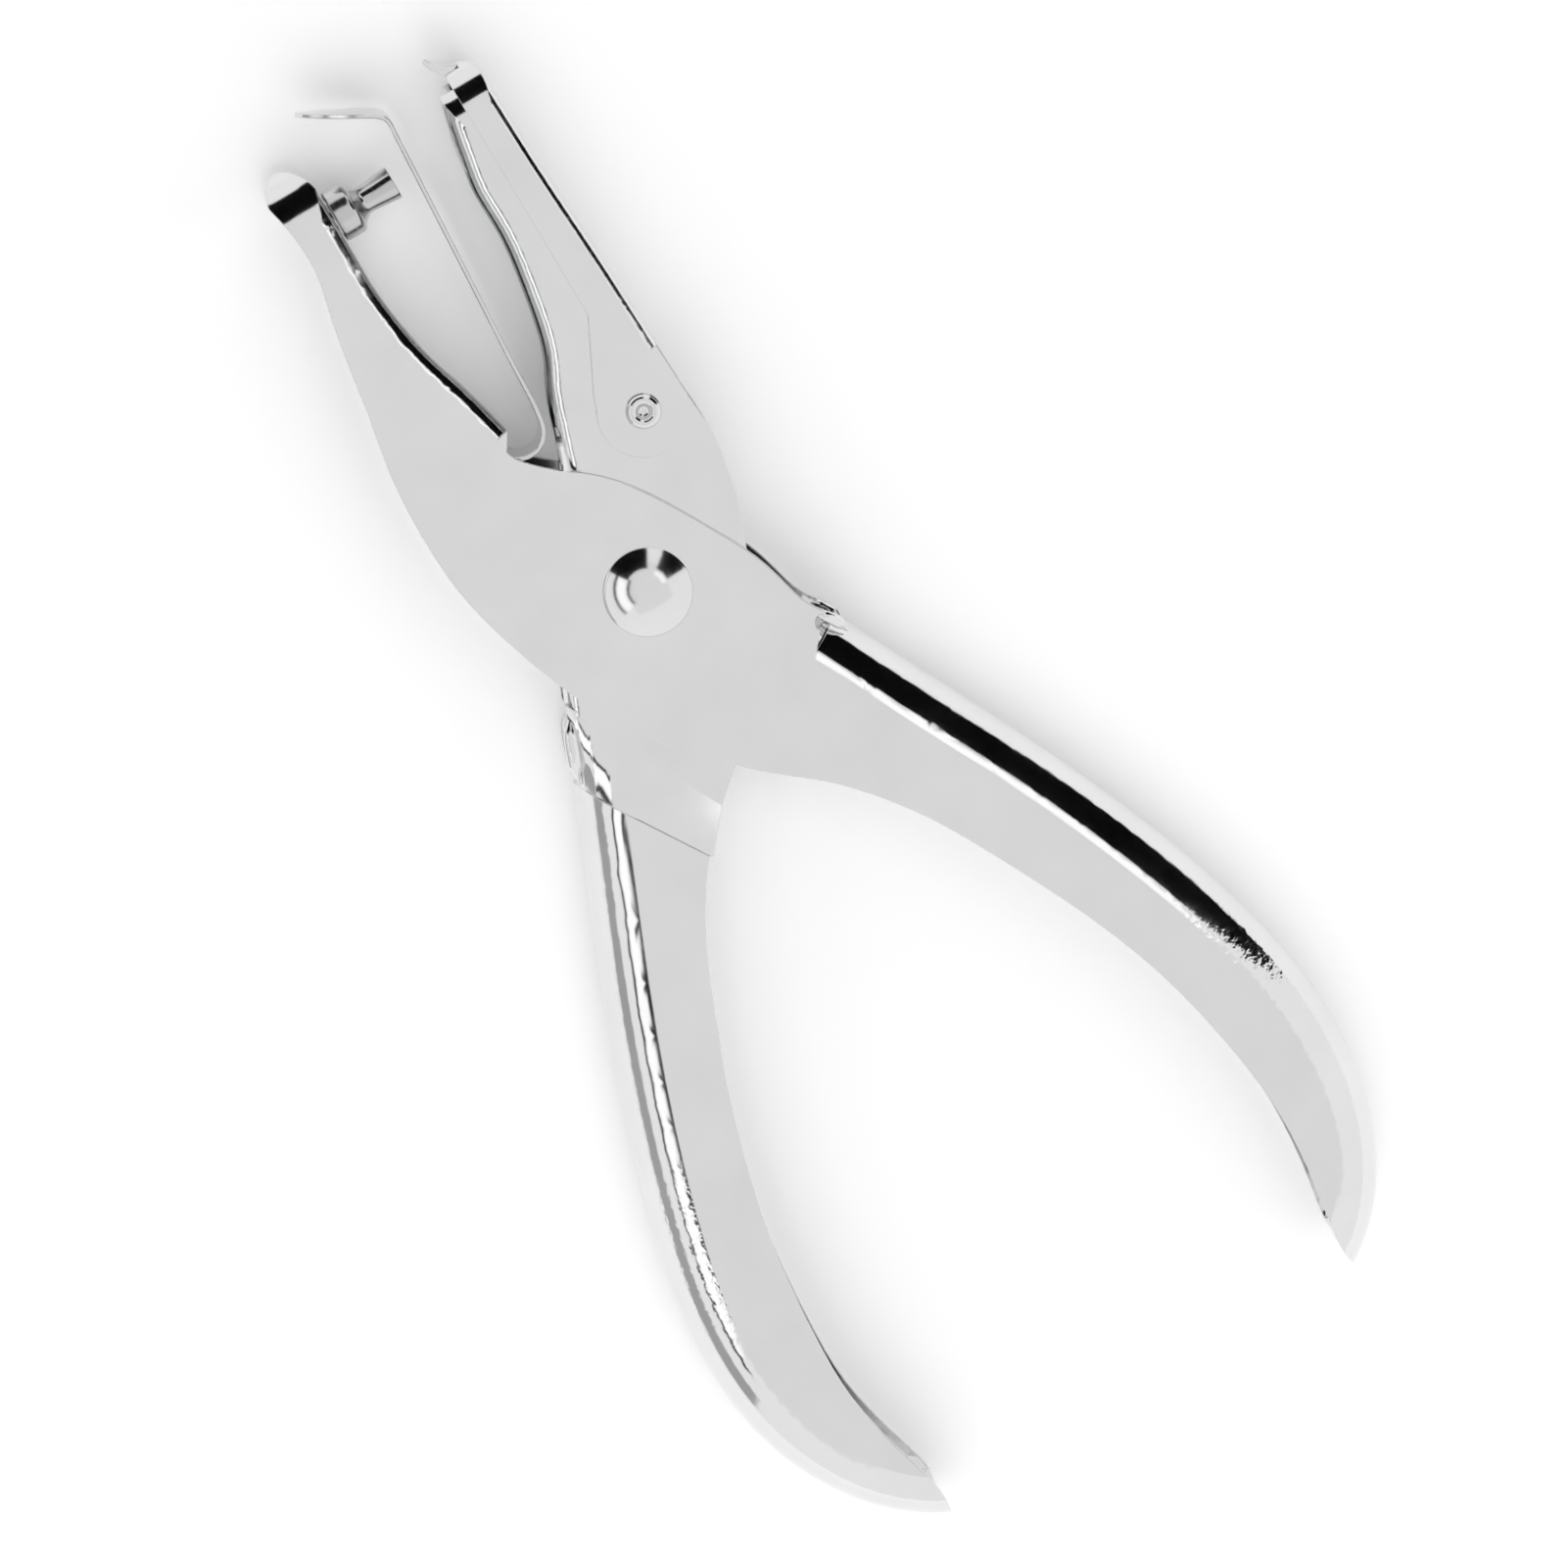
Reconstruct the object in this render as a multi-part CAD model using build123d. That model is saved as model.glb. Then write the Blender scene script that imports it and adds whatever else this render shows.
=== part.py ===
from build123d import *
import math
import os

# Single-hole hand punch, plier type, pressed sheet steel.
# Design frame: main pivot axis on Z at X = 0, Y = 0, mid-plane of the tool at Z = 0,
# jaws towards +Y, handles towards -Y. Everything is moved by SHIFT when written.

# ---------------------------------------------------------------- dimensions (mm)
T = 1.0                 # lever sheet thickness
Z_A = 4.8               # half width of the punch lever over its outer cheeks
Z_B = 3.65              # half width of the die lever over its inner cheeks
Z_H = 4.8               # half width of both handle grips
R_GRIP = 4.85           # radius of the rounded grip spine
GRIP_REACH = 17.0       # reach of the grip section, spine to beyond the inner edge
R_FOLD_A = 1.4          # outer fold radius, punch jaw
R_FOLD_B = 1.7          # outer fold radius, die jaw
T_COVER = 0.65          # chip cover sheet thickness
Z_COVER = 4.45          # half width over the chip cover
R_FOLD_C = 0.8          # outer fold radius of the chip cover

PIVOT_R = 2.5           # main rivet shank radius
PIVOT_CLEAR = 0.05      # running clearance of the die lever on the rivet
DOME_R = 3.95           # rivet dome radius
DOME_H = 1.15           # rivet dome height
TAIL_R = 3.3            # radius of the flush countersunk tail
TAIL_H = 0.7            # depth of the countersink

PUNCH_Y = 41.97         # height of the punch axis above the pivot
PUNCH_R = 1.55          # cutting radius of the punch
PUNCH_TIP_X = -0.88     # cutting face
WEB_X = -6.83           # outer face of the punch jaw web at the punch
COLLAR_R = 2.45         # punch collar radius
COLLAR_L = 2.1          # punch collar length
DIE_XY = (5.85, 41.6)   # centre of the die hole
DIE_R = 1.72            # die hole radius
DIE_DIR = (0.985, -0.172)

LEAF_T = 0.4            # stripper leaf thickness
LEAF_HW = 3.4           # stripper leaf half width
LEAF_HOLE_R = 2.1       # clearance hole round the punch
LEAF_SPLIT_Y = 26.0     # the rigid arm starts here, the elastic bend lies below

HINGE_XY = (7.75, 13.9)  # chip cover hinge
HINGE_R = 1.2           # cover rivet shank radius
EAR_R = 4.1             # cover ear radius

WIRE_R = 0.42           # return spring wire radius
COIL_R = 3.7            # return spring mean coil radius

# ---------------------------------------------------------------- outlines
# punch lever: outer edge of jaw, belly and inner edge of the grip
A_BELLY = [(-11.25, 45.2), (-10.65, 41.2), (-10.75, 38.6), (-11.6, 34.8), (-12.35, 31.0),
           (-13.1, 26.2), (-14.1, 20.8), (-14.55, 14.4), (-14.2, 8.2), (-13.0, 3.0),
           (-10.9, -3.1), (-8.5, -8.2), (-5.9, -12.0), (-3.4, -14.7), (-1.2, -17.1),
           (1.4, -19.6), (4.9, -22.5), (8.5, -26.4), (11.3, -30.3), (13.9, -34.9),
           (16.7, -40.4), (19.4, -46.3), (21.6, -52.3), (23.2, -58.7), (24.2, -64.9),
           (24.5, -70.2), (24.2, -74.8), (23.6, -79.0), (23.2, -82.2), (23.5, -84.9)]
# punch jaw web, outer face, from the nose down to its free end
A_WEB = [(-6.83, 44.2), (-6.83, 41.9), (-6.86, 38.4), (-6.85, 34.7), (-6.53, 31.6),
         (-6.07, 28.8), (-5.4, 26.2), (-4.52, 23.3), (-3.36, 18.6)]
A_NOSE = [(-6.83, 44.2), (-7.1, 45.9), (-8.1, 47.4), (-9.6, 48.0), (-10.9, 47.2), (-11.25, 45.2)]
A_BACK = [(-4.36, 17.0), (-3.9, 15.9), (-3.0, 14.8), (-1.26, 13.2), (0.8, 11.55),
          (3.2, 9.1), (5.7, 5.4), (8.2, 0.9), (9.75, -2.2), (10.6, -4.8), (11.3, -7.4), (12.5, -9.4)]
A_SPINE = [(13.2, -10.6), (21.9, -28.2), (29.5, -46.3), (33.0, -63.4), (30.5, -76.9), (23.5, -85.0)]

# die lever
B_WEB = [(6.35, 46.4), (5.75, 44.3), (5.05, 40.6), (4.6, 37.6), (4.62, 35.6), (4.6, 33.0),
         (4.15, 29.4), (3.5, 25.7), (2.55, 22.3), (1.3, 19.7), (0.25, 16.8), (-0.8, 13.6)]
B_RIGHT = [(9.55, 46.4), (9.75, 36.5), (10.25, 26.6), (10.6, 18.7)]
B_HEEL = [(11.6, 16.5), (11.9, 12.6), (12.0, 8.6), (11.4, 4.9), (10.6, 1.7), (9.5, -1.0),
          (7.6, -6.5), (4.2, -11.6), (0.6, -15.7), (-1.5, -17.6), (-4.0, -19.8)]
B_LEFT = [(-0.8, 13.6), (-2.8, 9.6), (-6.2, 4.6), (-9.4, -0.6), (-11.6, -5.2)]
B_INNER = [(-7.2, -23.0), (-9.3, -25.9), (-11.4, -29.6), (-13.9, -35.4), (-16.1, -41.1),
           (-18.0, -47.2), (-19.5, -53.3), (-20.5, -59.6), (-21.0, -66.0), (-21.0, -70.9),
           (-20.4, -74.8), (-19.5, -78.4), (-18.6, -81.9), (-18.7, -85.8)]
B_SPINE = [(-14.3, -11.7), (-21.9, -29.8), (-28.2, -48.2), (-30.75, -64.2), (-27.6, -77.0), (-18.7, -85.9)]

# chip cover
C_LEFT = [(7.74, 46.9), (7.78, 42.6), (7.84, 23.6)]
C_NOSE = [(7.74, 46.9), (7.9, 47.9), (8.8, 48.3), (9.9, 48.1), (10.55, 47.2), (10.6, 45.9)]
C_RIGHT = [(10.6, 45.9), (10.9, 36.5), (11.4, 26.6), (11.68, 18.3)]

# stripper leaf, centre line of the strip
LEAF_ARM = [(0.18, 26.0), (1.53, 47.1)]
LEAF_TAB = [(1.6, 47.6), (-5.3, 51.45)]
LEAF_BEND = [(0.165, 25.8), (-0.02, 22.5), (-0.29, 18.4), (-0.75, 16.6), (-2.1, 15.5), (-3.9, 15.7), (-5.0, 16.9)]
LEAF_GAP = 0.05         # gap between the clamped leg and the jaw web

SHIFT = (0.0, 0.0, 0.0)


# ---------------------------------------------------------------- helpers
def edges_of(*runs):
    """Edges through the listed runs of points; a run of two points is a line, a longer one a smooth curve."""
    out = []
    for run in runs:
        run = [Vector(x, y, 0) for x, y in run]
        out.append(Edge.make_line(run[0], run[1]) if len(run) == 2 else Edge.make_spline(run))
    return out


def face_of(*runs):
    return Face(Wire(edges_of(*runs)))


def slab(face, z0, z1):
    if face.normal_at().Z < 0:
        z0, z1 = z1, z0
    return Solid.extrude(face.moved(Location((0, 0, z0))), Vector(0, 0, z1 - z0))


def outward(solid):
    """The same solid with its faces pointing out."""
    return Solid(solid.shell()) if solid.volume < 0 else solid


def rod(r, z0, z1, xy=(0, 0)):
    return Pos(xy[0], xy[1], (z0 + z1) / 2) * Cylinder(r, z1 - z0)


def offset_points(points, d):
    """Points moved by d to the left of the direction of travel."""
    out = []
    n = len(points)
    for i, (x, y) in enumerate(points):
        a = points[max(i - 1, 0)]
        b = points[min(i + 1, n - 1)]
        tx, ty = b[0] - a[0], b[1] - a[1]
        l = math.hypot(tx, ty)
        out.append((x - ty / l * d, y + tx / l * d))
    return out


def resample(points, n):
    """n evenly spaced points on the smooth curve through the points."""
    e = Edge.make_spline([Vector(x, y, 0) for x, y in points])
    out = []
    for i in range(n):
        p = e.position_at(i / (n - 1))
        out.append((p.X, p.Y))
    return out


def grip(spine, radius, half, reach, z_cut):
    """Grip section, a half round of the radius with straight sides, carried along the spine curve.
    The spine runs away from the pivot. half is the side height, z_cut trims the sides truly flat."""
    e = Edge.make_spline([Vector(x, y, 0) for x, y in resample(spine, 11)])
    p, t = e.position_at(0), e.tangent_at(0)
    side = 1.0 if spine[0][0] < 0 else -1.0
    n = Vector(-t.Y * side, t.X * side, 0)         # points to the inside of the grip
    pl = Plane(origin=p, x_dir=n, z_dir=t)
    s = 1.0 if pl.y_dir.Z > 0 else -1.0
    inset = R_GRIP - radius

    def at(u, w):
        return pl.from_local_coords(Vector(u, w * s, 0))

    r = radius
    w = Wire([
        Edge.make_three_point_arc(at(inset + r, r), at(inset, 0), at(inset + r, -r)),
        Edge.make_line(at(inset + r, -r), at(reach, -r)),
        Edge.make_line(at(reach, -r), at(reach, r)),
        Edge.make_line(at(reach, r), at(inset + r, r)),
    ])
    body = outward(Solid.sweep(w, path=Wire([e])))
    big = 400
    return body & Box(big, big, 2 * z_cut)


def fillet_where(solid, radius, test):
    picked = [e for e in solid.edges() if test(e)]
    try:
        return solid.fillet(radius, picked)
    except Exception as err:
        print("fillet", radius, "left out:", len(picked), err)
        return solid


def rounding(points, beyond, half, radius):
    """What comes off a prism to round the two edges along the points; the material lies at smaller X."""
    line = points + beyond
    bar = slab(face_of(line, [line[-1], (line[-1][0] - 30, line[-1][1])],
                       [(line[-1][0] - 30, line[-1][1]), (line[0][0] - 30, line[0][1])],
                       [(line[0][0] - 30, line[0][1]), line[0]]), -half, half)
    bar = fillet_where(bar, radius, near_curve(line, 0.5, (half, -half)))
    inner, outer = offset_points(points, -1.9), offset_points(points, 1.2)
    strip = slab(face_of(inner, [inner[-1], outer[-1]], list(reversed(outer)), [outer[0], inner[0]]), -half - 1, half + 1)
    return strip - bar


def near_curve(points, tol, zs):
    ref = [(x, y) for x, y in resample(points, 60)]

    def test(e):
        for u in (0.1, 0.5, 0.9):
            p = e.position_at(u)
            if min(abs(p.Z - z) for z in zs) > 0.01:
                return False
            if min(math.hypot(p.X - x, p.Y - y) for x, y in ref) > tol:
                return False
        return True
    return test


def one(shape):
    s = shape.solids()
    if len(s) != 1:
        print("solids:", len(s), [round(k.volume, 2) for k in s])
    return max(s, key=lambda k: k.volume) if len(s) > 1 and s[1:] and min(k.volume for k in s) < 0.5 else (s[0] if len(s) == 1 else shape)


def nose_block(y0, y1, half, x0, x1):
    """Everything below y0 is free; above it the half width closes to a rounded end at y1."""
    pts = [(math.cos(a) * half, y0 + (y1 - y0) * math.sin(a)) for a in [math.pi / 2 * i / 8 for i in range(9)]]
    right = [Vector(x0, y, z) for z, y in pts]
    left = [Vector(x0, y, -z) for z, y in reversed(pts)]
    e = [
        Edge.make_line(Vector(x0, -120, half), right[0]),
        Edge.make_spline(right + left[1:], tangents=[Vector(0, 1, 0), Vector(0, -1, 0)]),
        Edge.make_line(left[-1], Vector(x0, -120, -half)),
        Edge.make_line(Vector(x0, -120, -half), Vector(x0, -120, half)),
    ]
    return outward(Solid.extrude(Face(Wire(e)), Vector(x1 - x0, 0, 0)))


# ---------------------------------------------------------------- punch lever
a_w = resample(A_WEB, 14)
a_end = A_WEB[-1]
# flat cheeks and jaw: the cheeks run a little way under the grip's sides
grip_start = (12.5, -9.4)
a_step = [(12.5, -9.4), (9.6, -12.0), (8.9, -13.8), (-0.6, -18.9)]
a_lower = A_BELLY[:15]
a_close = (a_lower[-1], (-0.6, -18.9))
outline_a = face_of(
    [(-6.83, 53.0), (-13.0, 53.0)], [(-13.0, 53.0), A_BELLY[0]], A_BELLY[:15], [a_lower[-1], (0.0, -18.2)], [(0.0, -18.2), (1.0, -19.2)], [(1.0, -19.2), (8.9, -14.9)],
    [(8.9, -14.9), (9.75, -12.5)], [(9.75, -12.5), (12.5, -9.4)], list(reversed(A_BACK)),
    [(-4.36, 17.0), (-3.36, 18.6)], list(reversed([(-6.83, 53.0), (-6.83, 48.0)] + A_WEB)))
a_main = slab(outline_a, -Z_A, Z_A)
a_main = a_main - rounding([(-6.83, 53.0), (-6.83, 48.0)] + A_WEB, [(-2.3, 15.0)], Z_A, R_FOLD_A)
trim_a = face_of(A_NOSE, [A_NOSE[-1], (-40, 45.2)], [(-40, 45.2), (-40, -100)], [(-40, -100), (60, -100)],
                 [(60, -100), (60, 44.2)], [(60, 44.2), A_NOSE[0]])
a_main = a_main & slab(trim_a, -8, 8)
a_main = a_main & nose_block(41.9, 48.25, Z_A, -20, 20)
in_web = offset_points(resample(A_WEB, 14), -T)          # to the inside of the web
cav = [(-7.83, 44.6), (-8.1, 45.7), (-8.9, 46.7), (-9.6, 46.95), (-10.3, 46.4), (-10.6, 45.4), (-14.0, 43.0)]
cavity_a = face_of(
    cav, [(-14.0, 43.0), (-30.0, 40.0)], [(-30.0, 40.0), (-30.0, -40.0)], [(-30.0, -40.0), (30.0, -40.0)],
    [(30.0, -40.0), (30.0, 17.4)], [(30.0, 17.4), (in_web[-1][0] + 1.2, 17.4)],
    [(in_web[-1][0] + 1.2, 17.4), (in_web[-1][0], 17.95)], [(in_web[-1][0], 17.95), in_web[-1]],
    list(reversed([cav[0]] + in_web[1:])))
a_cav = slab(cavity_a, -(Z_A - T), Z_A - T) & nose_block(41.5, 47.25, Z_A - T, -20, 20)
a_main = a_main - a_cav

grip_a_out = grip(A_SPINE, R_GRIP, R_GRIP, GRIP_REACH, Z_H)
grip_a_in = grip(A_SPINE, R_GRIP - T, R_GRIP - T, GRIP_REACH + 3, Z_H - T)
grip_a_plan = face_of(
    [(0.2, -17.3), (13.4, -10.2)], [(13.4, -10.2), (40.0, -20.0)], [(40.0, -20.0), (40.0, -90.0)],
    [(40.0, -90.0), (23.5, -88.0)], [(23.5, -88.0), (23.5, -84.9)], list(reversed(A_BELLY[14:])), [A_BELLY[14], (0.2, -17.3)])
# closed end: the hollow stops short of the tip
tip_a = Pos(24.6, -83.2, 0) * Cylinder(2.6, 20)
grip_a = (grip_a_out & slab(grip_a_plan, -8, 8)) - (grip_a_in - tip_a)
relief_a = rod(0.75, -8, 8, (11.9, -10.2))
punch_lever = (a_main + grip_a) - relief_a
for s in (1, -1):
    punch_lever = punch_lever - rod(PIVOT_R, s * 4.3 - 1, s * 4.3 + 1)
punch_lever = punch_lever - Pos(0, 0, -Z_A + TAIL_H / 2) * Cone(TAIL_R, PIVOT_R, TAIL_H)
punch_lever = punch_lever - (Pos(WEB_X, PUNCH_Y, 0) * Rot(0, 90, 0) * Cylinder(1.4, 6))

# ---------------------------------------------------------------- punch pin
px = WEB_X
profile = [
    (px - 2.1, 0), (px - 2.1, 1.7), (px - 1.85, 2.0), (px - 1.47, 2.0), (px - 1.47, 1.38), (px, 1.38),
    (px, COLLAR_R - 0.15), (px + 0.15, COLLAR_R), (px + COLLAR_L - 0.35, COLLAR_R), (px + COLLAR_L, COLLAR_R - 0.35),
    (px + COLLAR_L, 2.0), (px + COLLAR_L + 0.75, 1.32), (px + COLLAR_L + 1.35, 1.34),
    (PUNCH_TIP_X - 0.6, PUNCH_R - 0.03), (PUNCH_TIP_X, PUNCH_R), (PUNCH_TIP_X, PUNCH_R - 0.25),
    (PUNCH_TIP_X - 0.55, 0.55), (PUNCH_TIP_X - 0.6, 0)]
pin_face = Face(Wire.make_polygon([Vector(x, PUNCH_Y + r, 0) for x, r in profile], close=True))
punch_pin = Solid.revolve(pin_face, 360, Axis((0, PUNCH_Y, 0), (1, 0, 0)))

# ---------------------------------------------------------------- die lever
outline_b = face_of(
    [(6.35, 46.4), (7.0, 47.1)], [(7.0, 47.1), (9.0, 47.1)], [(9.0, 47.1), (9.55, 46.4)],
    B_RIGHT, [B_RIGHT[-1], B_HEEL[0]], B_HEEL, [B_HEEL[-1], B_LEFT[-1]], list(reversed(B_LEFT)), list(reversed(B_WEB)))
b_main = slab(outline_b, -Z_B, Z_B)
b_main = fillet_where(b_main, R_FOLD_B, near_curve(B_WEB, 0.4, (Z_B, -Z_B)))
b_main = b_main & nose_block(42.9, 47.4, Z_B, -40, 30)
b_in = offset_points(resample(B_WEB, 16), T)
cavity_b = face_of(
    [b_in[0], (9.0, 46.1)], [(9.0, 46.1), (16.0, 44.0)],
    [(16.0, 44.0), (16.0, -24.0)], [(16.0, -24.0), (-20.0, -24.0)], [(-20.0, -24.0), (-20.0, 13.2)],
    [(-20.0, 13.2), b_in[-1]], list(reversed(b_in)))
hollow_b = slab(cavity_b, -(Z_B - T), Z_B - T) & nose_block(42.4, 46.4, Z_B - T, -40, 30)

grip_b_out = grip(B_SPINE, R_GRIP, R_GRIP, GRIP_REACH, Z_H)
grip_b_in = grip(B_SPINE, R_GRIP - T, R_GRIP - T, GRIP_REACH + 3, Z_H - T)
grip_b_plan = face_of(
    B_INNER, [B_INNER[-1], (-18.7, -90.0)], [(-18.7, -90.0), (-45.0, -90.0)], [(-45.0, -90.0), (-45.0, -10.0)],
    [(-45.0, -10.0), (-15.5, -9.8)], [(-15.5, -9.8), B_INNER[0]])
tip_b = Pos(-20.1, -84.3, 0) * Cylinder(2.6, 20)
grip_b = grip_b_out & slab(grip_b_plan, -8, 8)


def wedge(drop, lift):
    """Solid between the narrow jaw and the wide grip; drop lowers both sides by the sheet thickness for the hollow."""
    l0 = [(-11.35, -5.0), (-3.75, -19.55)]
    l1 = [(-14.55, -12.45), (-7.0, -23.3)]
    if drop:
        l0 = [(-10.2, -5.0), (-3.0, -21.0)]
        l1 = [(-14.0, -14.1), (-7.2, -24.6)]
    dl = Vector(l1[1][0] - l1[0][0], l1[1][1] - l1[0][1], 0)
    length = dl.length
    dist = [0.35, 1.0, 2.0, 3.5, 5.6, length]        # along the oblique line
    r = R_GRIP - drop
    rim0, rim1 = [], []
    for k, u in enumerate(dist):
        depth = u * 0.82                               # distance from the spine, square to it
        z = min(math.sqrt(max(r ** 2 - max(r - depth, 0) ** 2, 0)), Z_H - drop) - 0.04
        f = u / length
        rim1.append(Vector(l1[0][0] + (l1[1][0] - l1[0][0]) * f, l1[0][1] + (l1[1][1] - l1[0][1]) * f, z))
        f = [0, dist[1] / length, dist[2] / length, dist[3] / length, dist[4] / length, 1][k]
        rim0.append(Vector(l0[0][0] + (l0[1][0] - l0[0][0]) * f, l0[0][1] + (l0[1][1] - l0[0][1]) * f, Z_B - drop + lift))

    def ring(top):
        return Wire.make_polygon(top + [Vector(p.X, p.Y, -p.Z) for p in reversed(top)], close=True)
    return outward(Solid.make_loft([ring(rim0), ring(rim1)], True))


relief_b = rod(0.7, -8, 8, (-12.9, -11.4))
b_main = b_main - hollow_b
flare = wedge(0.0, -0.1) - wedge(T, -0.1)
grip_b = grip_b - (grip_b_in - tip_b)
die_lever = (b_main + flare) + grip_b
for s in (1, -1):
    die_lever = die_lever - rod(PIVOT_R + PIVOT_CLEAR, s * 3.15 - 1, s * 3.15 + 1)
    die_lever = die_lever - rod(HINGE_R, s * 3.15 - 1, s * 3.15 + 1, HINGE_XY)
ang = math.degrees(math.atan2(DIE_DIR[1], DIE_DIR[0]))
die_lever = die_lever - (Pos(DIE_XY[0], DIE_XY[1], 0) * Rot(0, 0, ang) * Rot(0, 90, 0) * Cylinder(DIE_R, 3.0))

# ---------------------------------------------------------------- chip cover
ear = [(HINGE_XY[0] + EAR_R * math.cos(math.radians(a)), HINGE_XY[1] + EAR_R * math.sin(math.radians(a)))
       for a in (148, 180, 210, 240, 270, 300, 330, 355)]
outline_c = face_of(
    [(7.74, 46.9), (7.74, 53.0)], [(7.74, 53.0), (10.35, 53.0)], [(10.35, 53.0)] + C_RIGHT, [C_RIGHT[-1], ear[-1]], list(reversed(ear)), [ear[0], (4.6, 17.1)], [(4.6, 17.1), C_LEFT[-1]],
    list(reversed(C_LEFT)))
c_main = slab(outline_c, -Z_COVER, Z_COVER)
c_main = c_main - rounding([(10.35, 53.0)] + C_RIGHT, [(12.0, 12.0)], Z_COVER, R_FOLD_C)
trim_c = face_of(C_NOSE, [C_NOSE[-1], (40, 45.9)], [(40, 45.9), (40, -40)], [(40, -40), (-30, -40)],
                 [(-30, -40), (-30, 46.9)], [(-30, 46.9), C_NOSE[0]])
c_main = c_main & slab(trim_c, -8, 8)
c_main = c_main & nose_block(43.6, 48.6, Z_COVER, -20, 30)
c_in = offset_points(resample(C_RIGHT, 10), -T_COVER)
c_in[-1] = (c_in[-1][0], C_RIGHT[-1][1])
cavity_c = face_of(
    [(-5.0, 47.55), (9.3, 47.55)], [(9.3, 47.55), c_in[0]], c_in, [c_in[-1], (20.0, 18.3)], [(20.0, 18.3), (20.0, 5.0)],
    [(20.0, 5.0), (-5.0, 5.0)], [(-5.0, 5.0), (-5.0, 47.55)])
c_main = c_main - (slab(cavity_c, -(Z_COVER - T_COVER), Z_COVER - T_COVER) & nose_block(43.4, 47.95, Z_COVER - T_COVER, -20, 30))
lip_face = face_of([(8.4, 47.75), (9.2, 48.2)], [(9.2, 48.2), (8.1, 48.75), (7.35, 49.4), (6.95, 50.1)],
                   [(6.95, 50.1), (6.6, 49.85)], [(6.6, 49.85), (6.9, 49.0), (7.5, 48.2), (8.4, 47.75)])
chip_cover = c_main + slab(lip_face, -2.2, 2.2)
for s in (1, -1):
    chip_cover = chip_cover - rod(HINGE_R + 0.05, s * 4.1 - 0.6, s * 4.1 + 0.6, HINGE_XY)

# ---------------------------------------------------------------- rivets
dome_r = (DOME_R ** 2 + DOME_H ** 2) / (2 * DOME_H)
dome = (Pos(0, 0, Z_A + DOME_H - dome_r) * Sphere(dome_r)) & (Pos(0, 0, Z_A + 2) * Cylinder(DOME_R, 4))
tail = Pos(0, 0, -Z_A + TAIL_H / 2) * Cone(TAIL_R, PIVOT_R, TAIL_H)
pivot_rivet = dome + rod(PIVOT_R, -Z_A, Z_A) + tail

hx, hy = HINGE_XY
cr = [(0.62, -4.72), (0.62, 4.98), (0.8, 5.12), (1.05, 5.16), (1.45, 5.0), (1.62, 4.75), (1.55, 4.5), (HINGE_R, 4.5),
      (HINGE_R, -4.48), (1.62, -4.48), (1.62, -4.6), (1.5, -4.72)]
cr_face = Face(Wire.make_polygon([Vector(hx + r, hy, z) for r, z in cr], close=True))
cover_rivet = Solid.revolve(cr_face, 360, Axis((hx, hy, 0), (0, 0, 1)))
cover_rivet = cover_rivet + rod(0.63, 3.9, 4.4, HINGE_XY)

# ---------------------------------------------------------------- stripper leaf
def strip(points, thickness, z0, z1, samples):
    c = resample(points, samples) if len(points) > 2 else points
    l, r = offset_points(c, thickness / 2), offset_points(c, -thickness / 2)
    return slab(face_of(l, [l[-1], r[-1]], list(reversed(r)), [r[0], l[0]]), z0, z1)


arm_line = [LEAF_ARM[0], LEAF_ARM[1]]
leaf_arm = strip(arm_line, LEAF_T, -LEAF_HW, LEAF_HW, 2)
# pointed thumb tab, in its own plane
tx, ty = LEAF_TAB[1][0] - LEAF_TAB[0][0], LEAF_TAB[1][1] - LEAF_TAB[0][1]
tl = math.hypot(tx, ty)
tab_plane = Plane(origin=(LEAF_TAB[0][0], LEAF_TAB[0][1], 0), x_dir=(tx / tl, ty / tl, 0), z_dir=(ty / tl, -tx / tl, 0))
tab_pts = [(-0.25, LEAF_HW), (1.6, LEAF_HW), (3.6, 3.1), (5.6, 2.1), (7.2, 0.9), (tl, 0.18)]
tab_edges = [Edge.make_line(Vector(-0.25, LEAF_HW, 0), Vector(1.6, LEAF_HW, 0)),
             Edge.make_spline([Vector(x, y, 0) for x, y in tab_pts[1:]]),
             Edge.make_line(Vector(tl, 0.18, 0), Vector(tl, -0.18, 0)),
             Edge.make_spline([Vector(x, -y, 0) for x, y in reversed(tab_pts[1:])]),
             Edge.make_line(Vector(1.6, -LEAF_HW, 0), Vector(-0.25, -LEAF_HW, 0)),
             Edge.make_line(Vector(-0.25, -LEAF_HW, 0), Vector(-0.25, LEAF_HW, 0))]
tab = Solid.extrude(Face(Wire(tab_edges)), Vector(0, 0, LEAF_T)).moved(Location((0, 0, -LEAF_T / 2)))
tab = tab_plane.location * tab
knee = Pos(1.57, 47.3, 0) * Cylinder(0.32, 2 * LEAF_HW)
stripper_leaf = leaf_arm + knee + tab
stripper_leaf = stripper_leaf - (Pos(1.2, PUNCH_Y, 0) * Rot(0, 90, 0) * Cylinder(LEAF_HOLE_R, 4))
leg = list(reversed(offset_points(resample(A_WEB, 14), -(T + LEAF_GAP + LEAF_T / 2))))
leaf_bend = strip(LEAF_BEND + leg[1:], LEAF_T, -LEAF_HW, LEAF_HW, 60)
leaf_bend = leaf_bend - (Pos(-8.1, PUNCH_Y, 0) * Rot(0, 90, 0) * Cylinder(1.42, 3))

# ---------------------------------------------------------------- return spring
A0, TURNS_DEG, Z0 = -50.5, -78.6 + 3 * 360, -1.35
leg_a_end, leg_b_end = (14.3, -16.75), (-14.45, -16.95)
height = -2 * Z0
pitch = height / (TURNS_DEG / 360)
coil_n = 66
coil_pts = []
for k in range(coil_n + 1):
    a = math.radians(A0 + TURNS_DEG * k / coil_n)
    coil_pts.append(Vector(COIL_R * math.cos(a), COIL_R * math.sin(a), Z0 + height * k / coil_n))


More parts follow.
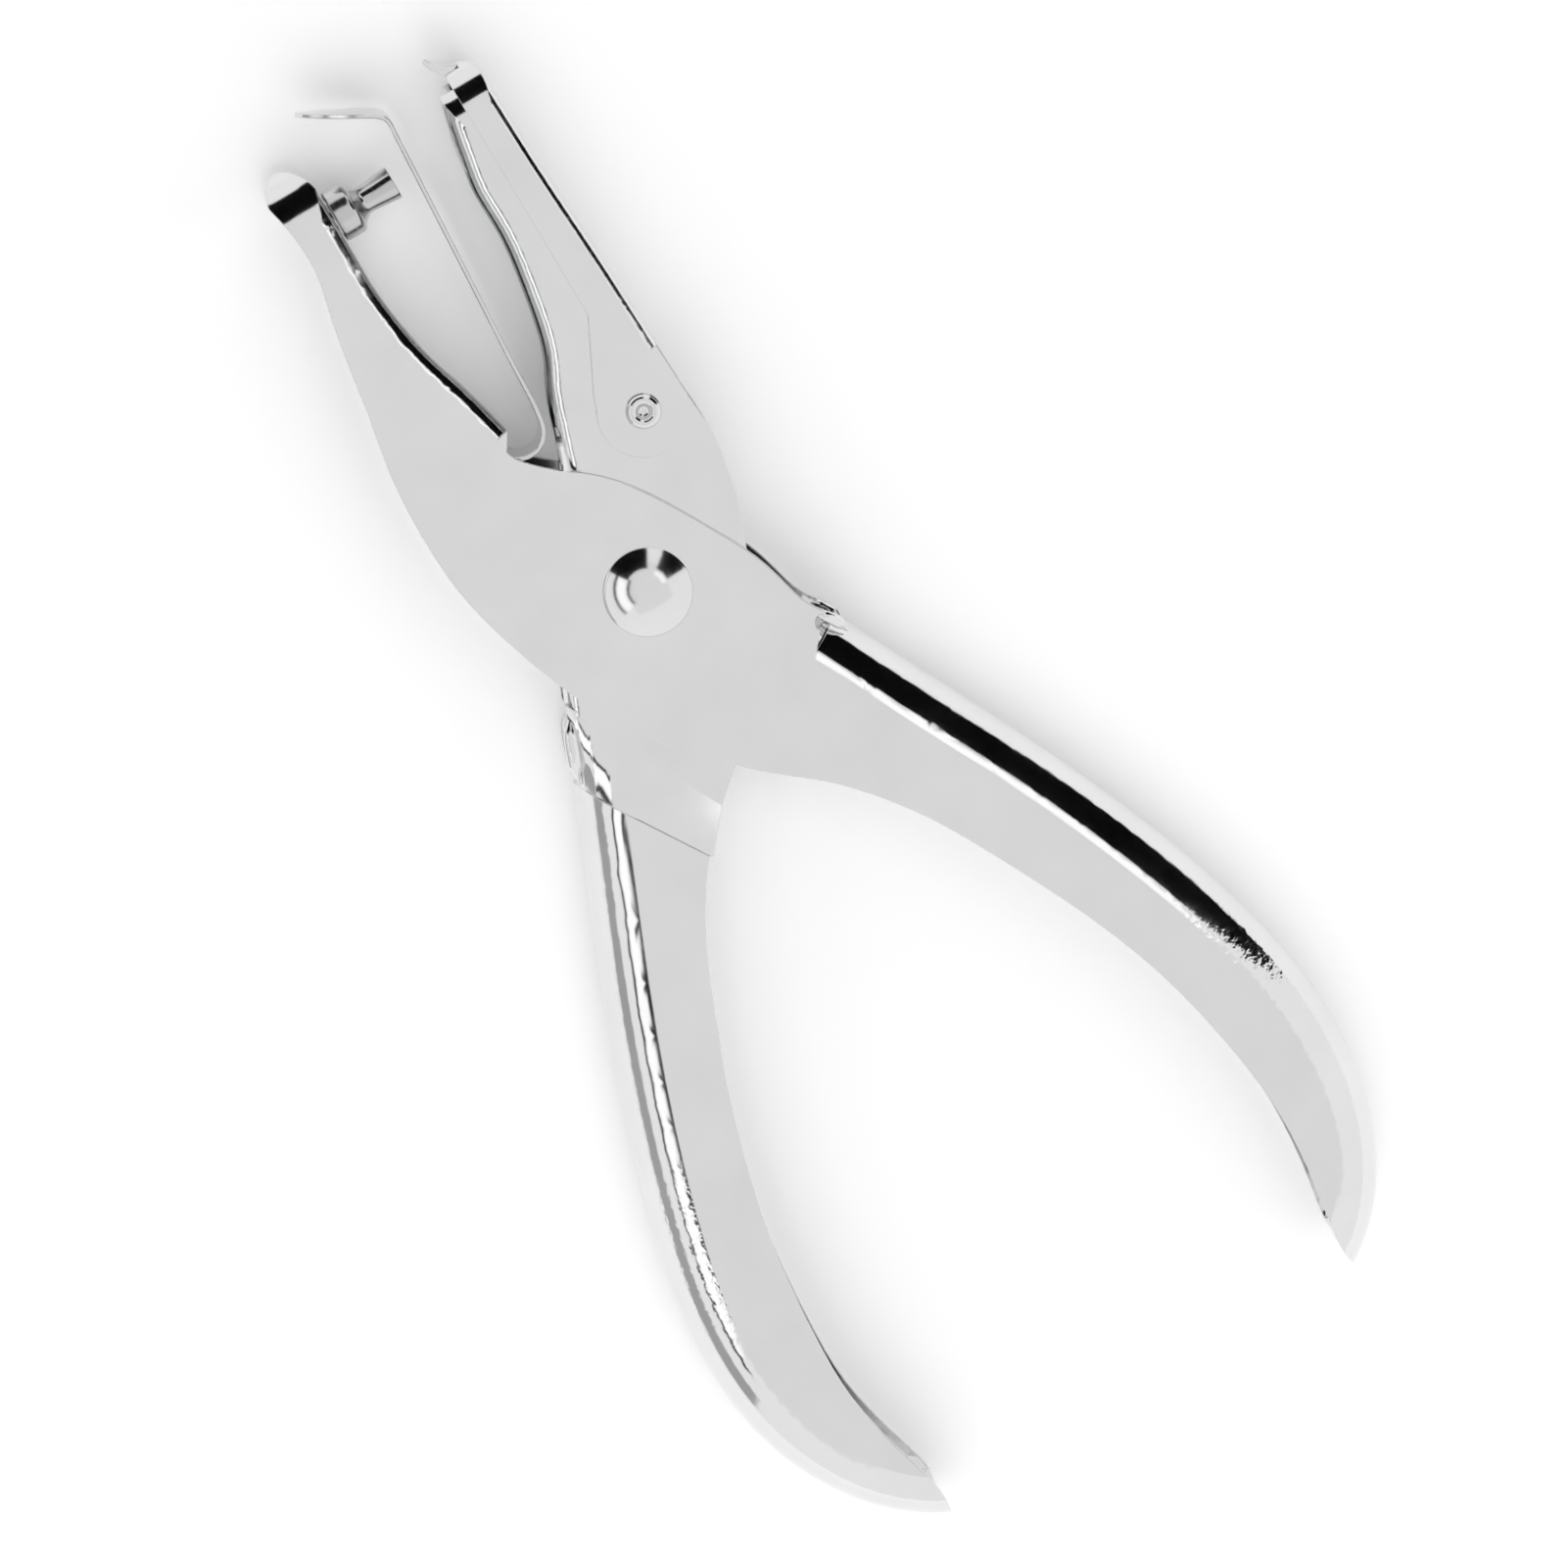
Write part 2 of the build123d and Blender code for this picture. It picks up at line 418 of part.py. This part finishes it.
def wire_leg(start, bend, end, z):
    """Points on a straight leg, a rounded bend and a short straight foot."""
    start, bend, end = Vector(start[0], start[1], z), Vector(bend[0], bend[1], z), Vector(end[0], end[1], z)
    run, foot = bend - start, end - bend
    pts = [start + run * f for f in (0.18, 0.36, 0.54, 0.72, 0.86)]
    a, b = bend - run.normalized() * 1.2, bend + foot.normalized() * 1.2
    pts += [a, (a + bend * 2 + b) * 0.25, b, end]
    return pts


leg_a = wire_leg((coil_pts[-1].X, coil_pts[-1].Y), leg_a_end, (16.0, -20.4), -Z0)
leg_b = wire_leg((coil_pts[0].X, coil_pts[0].Y), leg_b_end, (-15.9, -20.5), Z0)
wire_path = Edge.make_spline(list(reversed(leg_b)) + coil_pts + leg_a)
p0 = wire_path.position_at(0)
sec = Wire.make_circle(WIRE_R, Plane(origin=p0, z_dir=wire_path.tangent_at(0)))
return_spring = outward(Solid.sweep(sec, path=Wire([wire_path])))

# ---------------------------------------------------------------- write
PARTS = {
    "punch_lever": punch_lever, "die_lever": die_lever, "punch_pin": punch_pin,
    "stripper_leaf": stripper_leaf, "stripper_bend": leaf_bend, "chip_cover": chip_cover,
    "pivot_rivet": pivot_rivet, "cover_rivet": cover_rivet, "return_spring": return_spring,
}
lo = [min(tuple(p.bounding_box().min)[k] for p in PARTS.values()) for k in range(3)]
hi = [max(tuple(p.bounding_box().max)[k] for p in PARTS.values()) for k in range(3)]
SHIFT = (-(lo[0] + hi[0]) / 2, -(lo[1] + hi[1]) / 2, -lo[2])
os.makedirs("parts", exist_ok=True)
for name, shape in PARTS.items():
    solids = shape.solids()
    keep = [s for s in solids if s.volume > 0.05]
    body = keep[0] if len(keep) == 1 else Compound(children=keep)
    export_step(body.moved(Location(SHIFT)), f"parts/{name}.step")
    print(name, len(solids), [round(s.volume, 2) for s in solids])
print("box", [round(v, 3) for v in lo], [round(v, 3) for v in hi])
print("shift", [round(v, 4) for v in SHIFT])
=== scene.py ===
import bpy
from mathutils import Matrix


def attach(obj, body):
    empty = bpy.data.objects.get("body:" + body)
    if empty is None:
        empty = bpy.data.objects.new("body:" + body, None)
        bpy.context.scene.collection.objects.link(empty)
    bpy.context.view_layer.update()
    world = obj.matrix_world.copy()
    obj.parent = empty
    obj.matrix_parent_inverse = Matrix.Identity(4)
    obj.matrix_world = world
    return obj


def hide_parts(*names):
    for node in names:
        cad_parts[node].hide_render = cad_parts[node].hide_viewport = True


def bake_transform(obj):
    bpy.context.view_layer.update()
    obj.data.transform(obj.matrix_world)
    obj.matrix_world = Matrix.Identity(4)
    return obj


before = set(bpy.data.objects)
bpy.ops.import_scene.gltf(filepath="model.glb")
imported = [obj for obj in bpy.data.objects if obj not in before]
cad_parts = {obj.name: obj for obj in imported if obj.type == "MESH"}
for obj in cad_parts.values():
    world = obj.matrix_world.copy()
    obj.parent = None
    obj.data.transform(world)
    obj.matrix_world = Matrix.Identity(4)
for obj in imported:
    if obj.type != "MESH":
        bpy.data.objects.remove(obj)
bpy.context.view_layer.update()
import math
import bpy
import bmesh
from mathutils import Vector, Matrix

MM = 0.001
OX, OY, OZ = -1.1309, 17.1377, 4.8          # main rivet axis and mid-plane in the row frame, mm


def P(x, y, z=0.0):
    return Vector(((x + OX) * MM, (y + OY) * MM, (z + OZ) * MM))


# ------------------------------------------------------------------ materials
def plated(name, tint, rough, peel, brush, edge, dark=0.0, spots=()):
    """Bright plate over pressed steel: broad haze, fine scratches, orange peel and softened cut edges."""
    m = bpy.data.materials.new(name)
    m.use_nodes = True
    nt = m.node_tree
    n, l = nt.nodes, nt.links
    n.clear()
    out = n.new("ShaderNodeOutputMaterial")
    bs = n.new("ShaderNodeBsdfPrincipled")
    tc = n.new("ShaderNodeTexCoord")
    bs.inputs["Metallic"].default_value = 1.0
    # broad haze of handling
    haze = n.new("ShaderNodeTexNoise"); haze.inputs["Scale"].default_value = 120.0
    haze.inputs["Detail"].default_value = 5.0; haze.inputs["Roughness"].default_value = 0.6
    l.new(tc.outputs["Object"], haze.inputs["Vector"])
    ramp = n.new("ShaderNodeValToRGB")
    ramp.color_ramp.elements[0].position = 0.32; ramp.color_ramp.elements[1].position = 0.72
    lo = tuple(c * (0.94 - dark) for c in tint); hi = tint
    ramp.color_ramp.elements[0].color = (*lo, 1); ramp.color_ramp.elements[1].color = (*hi, 1)
    l.new(haze.outputs["Fac"], ramp.inputs["Fac"]); l.new(ramp.outputs["Color"], bs.inputs["Base Color"])
    # fine scratches, long one way
    mp = n.new("ShaderNodeMapping"); mp.inputs["Scale"].default_value = (9000.0, 500.0, 2500.0)
    mp.inputs["Rotation"].default_value = (0.0, 0.0, 0.35)
    l.new(tc.outputs["Object"], mp.inputs["Vector"])
    scr = n.new("ShaderNodeTexNoise"); scr.inputs["Scale"].default_value = 1.0; scr.inputs["Detail"].default_value = 3.0
    l.new(mp.outputs["Vector"], scr.inputs["Vector"])
    mr = n.new("ShaderNodeMapRange")
    mr.inputs["From Min"].default_value = 0.3; mr.inputs["From Max"].default_value = 0.75
    mr.inputs["To Min"].default_value = rough * 0.75; mr.inputs["To Max"].default_value = rough * 1.6 + 0.02
    mix = n.new("ShaderNodeMath"); mix.operation = "MULTIPLY_ADD"
    l.new(scr.outputs["Fac"], mix.inputs[0]); mix.inputs[1].default_value = 0.45
    l.new(haze.outputs["Fac"], mix.inputs[2])
    sub = n.new("ShaderNodeMath"); sub.operation = "SUBTRACT"; sub.inputs[1].default_value = 0.22
    l.new(mix.outputs[0], sub.inputs[0]); l.new(sub.outputs[0], mr.inputs["Value"])
    l.new(mr.outputs["Result"], bs.inputs["Roughness"])
    # relief
    bev = n.new("ShaderNodeBevel"); bev.samples = 4; bev.inputs["Radius"].default_value = edge
    pn = n.new("ShaderNodeTexNoise"); pn.inputs["Scale"].default_value = 420.0; pn.inputs["Detail"].default_value = 2.0
    l.new(tc.outputs["Object"], pn.inputs["Vector"])
    b1 = n.new("ShaderNodeBump"); b1.inputs["Strength"].default_value = 1.0; b1.inputs["Distance"].default_value = peel
    l.new(pn.outputs["Fac"], b1.inputs["Height"]); l.new(bev.outputs["Normal"], b1.inputs["Normal"])
    b2 = n.new("ShaderNodeBump"); b2.inputs["Strength"].default_value = 1.0; b2.inputs["Distance"].default_value = brush
    l.new(scr.outputs["Fac"], b2.inputs["Height"]); l.new(b1.outputs["Normal"], b2.inputs["Normal"])
    last = b2
    for spot in spots:
        fine = n.new("ShaderNodeTexNoise"); fine.inputs["Scale"].default_value = 1900.0; fine.inputs["Detail"].default_value = 1.0
        l.new(tc.outputs["Object"], fine.inputs["Vector"])
        dist = n.new("ShaderNodeVectorMath"); dist.operation = "DISTANCE"
        dist.inputs[1].default_value = tuple(spot[0])
        l.new(tc.outputs["Object"], dist.inputs[0])
        fall = n.new("ShaderNodeMapRange"); fall.interpolation_type = "SMOOTHSTEP"
        fall.inputs["From Min"].default_value = spot[1] * 0.35; fall.inputs["From Max"].default_value = spot[1]
        fall.inputs["To Min"].default_value = 1.0; fall.inputs["To Max"].default_value = 0.0
        l.new(dist.outputs["Value"], fall.inputs["Value"])
        mul = n.new("ShaderNodeMath"); mul.operation = "MULTIPLY"
        l.new(fine.outputs["Fac"], mul.inputs[0]); l.new(fall.outputs["Result"], mul.inputs[1])
        b3 = n.new("ShaderNodeBump"); b3.inputs["Strength"].default_value = 1.0; b3.inputs["Distance"].default_value = spot[2]
        l.new(mul.outputs[0], b3.inputs["Height"]); l.new(last.outputs["Normal"], b3.inputs["Normal"])
        last = b3
    l.new(last.outputs["Normal"], bs.inputs["Normal"])
    l.new(bs.outputs["BSDF"], out.inputs["Surface"])
    return m


CHROME = plated("bright_plate", (0.80, 0.80, 0.805), 0.07, 3.0e-6, 1.2e-7, 0.00016,
                spots=((P(28.3, -55.6, 3.5), 0.0085, 2.2e-5), (P(-25.0, -53.5, 3.5), 0.011, 2.2e-5)))
PLATE2 = plated("leaf_plate", (0.74, 0.745, 0.75), 0.13, 3.0e-6, 3.0e-7, 0.00006)
RIVET = plated("rivet_plate", (0.78, 0.78, 0.785), 0.10, 2.5e-6, 1.5e-7, 0.00008)
PIN = plated("ground_tool_steel", (0.63, 0.63, 0.635), 0.17, 2.0e-6, 6.0e-7, 0.00006, 0.05)
WIRE = plated("spring_wire", (0.42, 0.425, 0.44), 0.24, 3.0e-6, 6.0e-7, 0.00003, 0.1)

for node, mat in (("punch_lever", CHROME), ("die_lever", CHROME), ("chip_cover", CHROME), ("stripper_leaf", PLATE2),
                  ("stripper_bend", PLATE2), ("pivot_rivet", RIVET), ("cover_rivet", RIVET), ("punch_pin", PIN),
                  ("return_spring", WIRE)):
    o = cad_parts[node]
    o.data.materials.clear()
    o.data.materials.append(mat)


# ------------------------------------------------------------------ pieces built here
def link(name, verts, faces, mat, sharp=32.0):
    me = bpy.data.meshes.new(name)
    me.from_pydata([tuple(v) for v in verts], [], faces)
    bm = bmesh.new(); bm.from_mesh(me)
    bmesh.ops.remove_doubles(bm, verts=bm.verts, dist=1e-8)
    bmesh.ops.recalc_face_normals(bm, faces=bm.faces)
    bm.to_mesh(me); bm.free()
    for p in me.polygons:
        p.use_smooth = True
    me.set_sharp_from_angle(angle=math.radians(sharp))
    me.materials.append(mat)
    o = bpy.data.objects.new(name, me)
    bpy.context.collection.objects.link(o)
    return o


def lathe(name, profile, origin, axis, mat, seg=96, sharp=32.0):
    """Profile of (radius, height) turned about the axis through origin, pivot frame, mm."""
    a = Vector(axis).normalized()
    u = a.orthogonal().normalized(); v = a.cross(u)
    verts, faces, rings = [], [], []
    for r, h in profile:
        if r < 1e-6:
            rings.append([len(verts)]); verts.append(P(*(Vector(origin) + a * h)))
        else:
            ring = []
            for k in range(seg):
                t = 2 * math.pi * k / seg
                ring.append(len(verts)); verts.append(P(*(Vector(origin) + a * h + (u * math.cos(t) + v * math.sin(t)) * r)))
            rings.append(ring)
    for p, q in zip(rings, rings[1:]):
        for k in range(seg):
            j = (k + 1) % seg
            if len(p) == 1 and len(q) == 1:
                continue
            if len(p) == 1:
                faces.append((p[0], q[j], q[k]))
            elif len(q) == 1:
                faces.append((p[k], p[j], q[0]))
            else:
                faces.append((p[k], p[j], q[j], q[k]))
    return link(name, verts, faces, mat, sharp)


def smooth_line(points, step):
    """Even points on the centripetal curve through 2-D or 3-D points."""
    pts = [Vector(p) if len(p) == 3 else Vector((p[0], p[1], 0.0)) for p in points]
    ext = [pts[0] * 2 - pts[1]] + pts + [pts[-1] * 2 - pts[-2]]
    out = []
    for i in range(1, len(ext) - 2):
        p0, p1, p2, p3 = ext[i - 1:i + 3]
        n = max(2, int((p2 - p1).length / step))
        t0 = 0.0; t1 = t0 + max((p1 - p0).length, 1e-6) ** 0.5
        t2 = t1 + max((p2 - p1).length, 1e-6) ** 0.5; t3 = t2 + max((p3 - p2).length, 1e-6) ** 0.5
        for k in range(n):
            t = t1 + (t2 - t1) * k / n
            a1 = p0 * ((t1 - t) / (t1 - t0)) + p1 * ((t - t0) / (t1 - t0))
            a2 = p1 * ((t2 - t) / (t2 - t1)) + p2 * ((t - t1) / (t2 - t1))
            a3 = p2 * ((t3 - t) / (t3 - t2)) + p3 * ((t - t2) / (t3 - t2))
            b1 = a1 * ((t2 - t) / (t2 - t0)) + a2 * ((t - t0) / (t2 - t0))
            b2 = a2 * ((t3 - t) / (t3 - t1)) + a3 * ((t - t1) / (t3 - t1))
            out.append(b1 * ((t2 - t) / (t2 - t1)) + b2 * ((t - t1) / (t2 - t1)))
    out.append(pts[-1])
    return out


def ribbon(name, line, thick, width, mat, chamfer=0.07):
    """Strip standing on the plan line; width(f) is its half width at fraction f of the length."""
    verts, faces = [], []
    total = sum((b - a).length for a, b in zip(line, line[1:]))
    run = 0.0; m = 8
    for i, p in enumerate(line):
        if i:
            run += (p - line[i - 1]).length
        t = (line[min(i + 1, len(line) - 1)] - line[max(i - 1, 0)]).normalized()
        nn = Vector((-t.y, t.x, 0))
        w = width(run / total); c = min(chamfer, w * 0.4); h = thick / 2
        for a, z in ((h, w - c), (h - c, w), (-h + c, w), (-h, w - c), (-h, -w + c), (-h + c, -w), (h - c, -w), (h, -w + c)):
            verts.append(P(*(p + nn * a + Vector((0, 0, z)))))
    for i in range(len(line) - 1):
        for k in range(m):
            j = (k + 1) % m
            faces.append((i * m + k, i * m + j, (i + 1) * m + j, (i + 1) * m + k))
    faces.append(tuple(range(m))); faces.append(tuple((len(line) - 1) * m + k for k in reversed(range(m))))
    return link(name, verts, faces, mat)


def drill(o, cutter):
    mod = o.modifiers.new("hole", "BOOLEAN"); mod.object = cutter; mod.operation = "DIFFERENCE"; mod.solver = "EXACT"
    dg = bpy.context.evaluated_depsgraph_get()
    me = bpy.data.meshes.new_from_object(o.evaluated_get(dg))
    o.modifiers.clear(); o.data = me
    for p in me.polygons:
        p.use_smooth = True
    me.set_sharp_from_angle(angle=math.radians(32))
    bpy.data.objects.remove(cutter)


def wire(name, line, radius, mat, seg=16):
    verts, faces = [], []
    prev = None
    for i, p in enumerate(line):
        t = (line[min(i + 1, len(line) - 1)] - line[max(i - 1, 0)]).normalized()
        u = (prev - t * prev.dot(t)).normalized() if prev else t.orthogonal().normalized()
        prev = u; v = t.cross(u)
        for k in range(seg):
            a = 2 * math.pi * k / seg
            verts.append(P(*(p + (u * math.cos(a) + v * math.sin(a)) * radius)))
    for i in range(len(line) - 1):
        for k in range(seg):
            j = (k + 1) % seg
            faces.append((i * seg + k, i * seg + j, (i + 1) * seg + j, (i + 1) * seg + k))
    faces.append(tuple(range(seg))); faces.append(tuple((len(line) - 1) * seg + k for k in reversed(range(seg))))
    return link(name, verts, faces, mat, 50.0)


# main rivet: low dome with a steep rolled rim, shank, flush tail
dome = [(3.72 * k / 20, 4.86 + 1.12 - (7.0 - math.sqrt(49.0 - (3.72 * k / 20) ** 2))) for k in range(21)] + [(3.86, 4.84), (3.96, 4.82)]
rivet = lathe("pivot_rivet_turned", dome + [(3.97, 4.81), (2.5, 4.81), (2.5, -4.1), (3.22, -4.72), (3.2, -4.79), (2.9, -4.8), (0, -4.8)],
              (0, 0, 0), (0, 0, 1), RIVET, 128)
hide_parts("pivot_rivet"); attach(rivet, "punch_lever")

# cover rivet: rolled tubular head with a dimple
tube = [(0.0, 4.52), (0.2, 4.5), (0.42, 4.56), (0.58, 4.74), (0.7, 4.96), (0.88, 5.1), (1.08, 5.13), (1.28, 5.07), (1.46, 4.93),
        (1.57, 4.75), (1.6, 4.58), (1.52, 4.47), (1.2, 4.46), (1.2, -4.47), (1.6, -4.48), (1.62, -4.6), (1.5, -4.72),
        (1.0, -4.75), (0.66, -4.7), (0.6, -4.5), (0.5, -4.1), (0.0, -4.0)]
crivet = lathe("cover_rivet_rolled", tube, (7.75, 13.9, 0), (0, 0, 1), RIVET, 80, 60.0)
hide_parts("cover_rivet"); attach(crivet, "die_lever")

# punch pin: staked head, collar, cone, neck and hollow-ground cutting end
x0 = -6.83
pp = [(0, -2.05), (1.3, -2.06), (1.75, -1.98), (1.95, -1.8), (1.98, -1.5), (1.37, -1.48), (1.37, 0.0), (2.3, 0.0), (2.44, 0.1), (2.47, 0.25),
      (2.47, 1.66), (2.4, 1.82), (2.2, 2.02), (2.1, 2.08), (2.0, 2.1), (1.88, 2.2), (1.5, 2.62), (1.36, 2.8), (1.31, 3.0), (1.31, 3.4), (1.36, 3.9),
      (1.45, 4.7), (1.53, 5.5), (1.55, 5.93), (1.54, 5.96), (1.34, 5.96), (1.3, 5.93), (1.1, 5.7), (0.6, 5.45), (0, 5.4)]
pin = lathe("punch_pin_turned", pp, (x0, 41.97, 0), (1, 0, 0), PIN, 96, 26.0)
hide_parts("punch_pin"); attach(pin, "punch_lever")

# stripper leaf: clamped leg, and the bend, arm and pointed tab that swing
A_WEB = [(-6.83, 44.2), (-6.83, 41.9), (-6.86, 38.4), (-6.85, 34.7), (-6.53, 31.6), (-6.07, 28.8), (-5.4, 26.2), (-4.52, 23.3), (-3.36, 18.6)]
web = smooth_line(A_WEB, 0.5)
leg = []
for i, p in enumerate(web):
    t = (web[min(i + 1, len(web) - 1)] - web[max(i - 1, 0)]).normalized()
    leg.append(p - Vector((-t.y, t.x, 0)) * 1.27)
leg = list(reversed(leg))
leg_piece = ribbon("stripper_leg_clamped", leg[4:], 0.4, lambda f: 3.4, PLATE2)
drill(leg_piece, lathe("tmp_cut_a", [(0, -6), (1.42, -6), (1.42, 1), (0, 1)], (-6.0, 41.97, 0), (1, 0, 0), PLATE2, 48))
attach(leg_piece, "punch_lever")
arm_line = smooth_line([tuple(leg[4])[:2], tuple(leg[2])[:2], (-4.95, 17.0), (-3.9, 15.75), (-2.1, 15.5), (-0.75, 16.6), (-0.29, 18.4), (0.02, 23.5), (0.18, 26.0), (0.85, 36.4), (1.42, 45.6), (1.5, 46.8), (1.33, 47.5),
                        (0.75, 48.05), (-1.5, 49.33), (-5.3, 51.45)], 0.3)


def leaf_half(f):
    if f < 0.868:
        return 3.4
    g = (f - 0.868) / 0.132
    return 3.4 * math.sqrt(max(1 - g ** 2.1, 0.0)) * (1 - 0.25 * g) + 0.12


arm_piece = ribbon("stripper_leaf_sprung", arm_line, 0.4, leaf_half, PLATE2)
drill(arm_piece, lathe("tmp_cut_b", [(0, -2), (2.1, -2), (2.1, 3), (0, 3)], (1.2, 41.97, 0), (1, 0, 0), PLATE2, 64))
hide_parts("stripper_leaf", "stripper_bend")
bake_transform(arm_piece)

# rolled corners where each grip's spine begins
def horn(name, points, radii, mat):
    line = smooth_line(points, 0.12)
    verts, faces, seg = [], [], 20
    prev = None
    for i, p in enumerate(line):
        f = i / (len(line) - 1) * (len(radii) - 1)
        k = min(int(f), len(radii) - 2); g = f - k; g = g * g * (3 - 2 * g)
        r = radii[k] * (1 - g) + radii[k + 1] * g
        t = (line[min(i + 1, len(line) - 1)] - line[max(i - 1, 0)]).normalized()
        u = (prev - t * prev.dot(t)).normalized() if prev else t.cross(Vector((0, 0, 1))).normalized()
        prev = u; v = t.cross(u)
        for q in range(seg):
            a = 2 * math.pi * q / seg
            verts.append(P(*(p + u * math.cos(a) * r + v * math.sin(a) * r * 0.7)))
    for i in range(len(line) - 1):
        for q in range(seg):
            j = (q + 1) % seg
            faces.append((i * seg + q, i * seg + j, (i + 1) * seg + j, (i + 1) * seg + q))
    faces.append(tuple(range(seg))); faces.append(tuple((len(line) - 1) * seg + q for q in reversed(range(seg))))
    return link(name, verts, faces, mat, 60.0)


for sgn, side in ((1, "front"), (-1, "rear")):
    h = horn("die_grip_claw_" + side, [(-11.3, -6.0, 2.9 * sgn), (-12.3, -7.6, 3.3 * sgn), (-13.1, -9.6, 3.2 * sgn), (-13.9, -12.0, 2.4 * sgn)],
             [0.12, 0.62, 0.66, 0.1], CHROME)
    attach(h, "die_lever")
    h = horn("punch_grip_claw_" + side, [(11.3, -8.9, 3.9 * sgn), (12.3, -9.9, 4.15 * sgn), (13.0, -11.0, 3.6 * sgn), (13.4, -12.2, 2.9 * sgn)],
             [0.12, 0.5, 0.55, 0.15], CHROME)
    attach(h, "punch_lever")

# return spring: coil round the rivet, one leg in each grip
A0, TURNS, Z0, CR = -50.5, -78.6 + 1080, -1.35, 3.7
coil = [Vector((CR * math.cos(math.radians(A0 + TURNS * k / 110)), CR * math.sin(math.radians(A0 + TURNS * k / 110)), Z0 - 2 * Z0 * k / 110)) for k in range(111)]
la = smooth_line([tuple(coil[-1]), (coil[-1].x * 0.5 + 7.15, coil[-1].y * 0.5 - 8.4, -Z0), (13.7, -16.1, -Z0), (14.35, -16.9, -Z0), (14.8, -17.8, -Z0), (16.0, -20.4, -Z0)], 0.4)
lb = smooth_line([tuple(coil[0]), (coil[0].x * 0.5 - 7.2, coil[0].y * 0.5 - 8.5, Z0), (-13.8, -16.3, Z0), (-14.4, -17.1, Z0), (-14.8, -18.0, Z0), (-15.9, -20.5, Z0)], 0.4)
spring = wire("return_spring_wound", list(reversed(lb))[:-1] + coil + la[1:], 0.42, WIRE)
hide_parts("return_spring")
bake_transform(spring)

# ------------------------------------------------------------------ studio
def plain(name, colour, emit=None, rough=0.9):
    m = bpy.data.materials.new(name); m.use_nodes = True
    b = m.node_tree.nodes["Principled BSDF"]
    b.inputs["Base Color"].default_value = (*colour, 1); b.inputs["Roughness"].default_value = rough
    b.inputs["Specular IOR Level"].default_value = 0.0
    if emit is not None:
        b.inputs["Emission Color"].default_value = (1, 1, 1, 1); b.inputs["Emission Strength"].default_value = emit
    return m


def quad(name, corners, mat):
    me = bpy.data.meshes.new(name)
    me.from_pydata([tuple(c) for c in corners], [], [tuple(range(len(corners)))])
    o = bpy.data.objects.new(name, me); me.materials.append(mat)
    bpy.context.collection.objects.link(o)
    return o


S = 3.0
quad("studio_floor", [(-S, -S, 0), (S, -S, 0), (S, S, 0), (-S, S, 0)], plain("studio_floor_white", (0.95, 0.95, 0.95), 0.16))

right = Vector((0.860, -0.504, 0.0707)).normalized()
up = Vector((0.510, 0.850, -0.1397)).normalized()
back = right.cross(up).normalized()
up = back.cross(right).normalized()
target = P(1.67, -20.83, 4.8)
cam = bpy.data.cameras.new("camera"); co = bpy.data.objects.new("camera", cam)
bpy.context.collection.objects.link(co)
cam.lens = 270.0; cam.sensor_width = 36.0; cam.clip_start = 0.05; cam.clip_end = 20.0
rot = Matrix((right, up, back)).transposed()
co.matrix_world = Matrix.Translation(target + back * 1.035) @ rot.to_4x4()
bpy.context.scene.camera = co


def arc_card(name, az0, az1, el0, el1, r, mat, n=18):
    """Part of a sphere round the object: azimuth counted from image right towards image top, in degrees."""
    vs, fs = [], []
    rx = Vector((right.x, right.y, 0)).normalized(); ux = Vector((-rx.y, rx.x, 0))
    k = 6
    for i in range(n + 1):
        a = math.radians(az0 + (az1 - az0) * i / n)
        for j in range(k + 1):
            e = math.radians(el0 + (el1 - el0) * j / k)
            vs.append(tuple((rx * math.cos(a) + ux * math.sin(a)) * r * math.cos(e) + Vector((0, 0, r * math.sin(e)))))
    for i in range(n):
        for j in range(k):
            a = i * (k + 1) + j
            fs.append((a, a + 1, a + k + 2, a + k + 1))
    me = bpy.data.meshes.new(name); me.from_pydata(vs, [], fs); me.materials.append(mat)
    o = bpy.data.objects.new(name, me); bpy.context.collection.objects.link(o)
    for p in me.polygons:
        p.use_smooth = True
    return o


black = plain("card_black", (0.004, 0.004, 0.004))
grey = plain("card_grey", (0.0, 0.0, 0.0), 0.42)
bright = plain("card_white", (0.0, 0.0, 0.0), 1.3)
arc_card("card_black_right", 26, 64, 2, 57, 0.9, black)
arc_card("card_black_top", 88, 156, 26, 60, 0.9, black)
arc_card("card_white_rim", 20, 64, 60, 66, 0.9, bright)
arc_card("card_black_left_high", 152, 232, 61, 65, 0.9, black)
arc_card("card_white_left", 152, 232, 47, 60, 0.92, bright)
arc_card("card_black_left_low", 152, 232, 41, 45, 0.9, black)
arc_card("card_grey_left", 160, 232, 4, 24, 0.9, grey)
quad("studio_ceiling", [(-1.2, -1.2, 2.0), (1.2, -1.2, 2.0), (1.2, 1.2, 2.0), (-1.2, 1.2, 2.0)], plain("ceiling_grey", (0, 0, 0), 0.86))

w = bpy.data.worlds.new("studio"); bpy.context.scene.world = w; w.use_nodes = True
w.node_tree.nodes["Background"].inputs["Color"].default_value = (1.0, 1.0, 1.0, 1)
w.node_tree.nodes["Background"].inputs["Strength"].default_value = 0.98
key = bpy.data.lights.new("key", "AREA"); key.shape = "DISK"; key.size = 1.6; key.energy = 7.0
ko = bpy.data.objects.new("key", key); bpy.context.collection.objects.link(ko)
ko.location = (-0.25, -0.5, 1.5); ko.visible_glossy = False
ko.rotation_euler = (Vector((0, 0, 0)) - ko.location).to_track_quat("-Z", "Y").to_euler()
bpy.context.scene.view_settings.view_transform = "Standard"
bpy.context.scene.view_settings.look = "None"
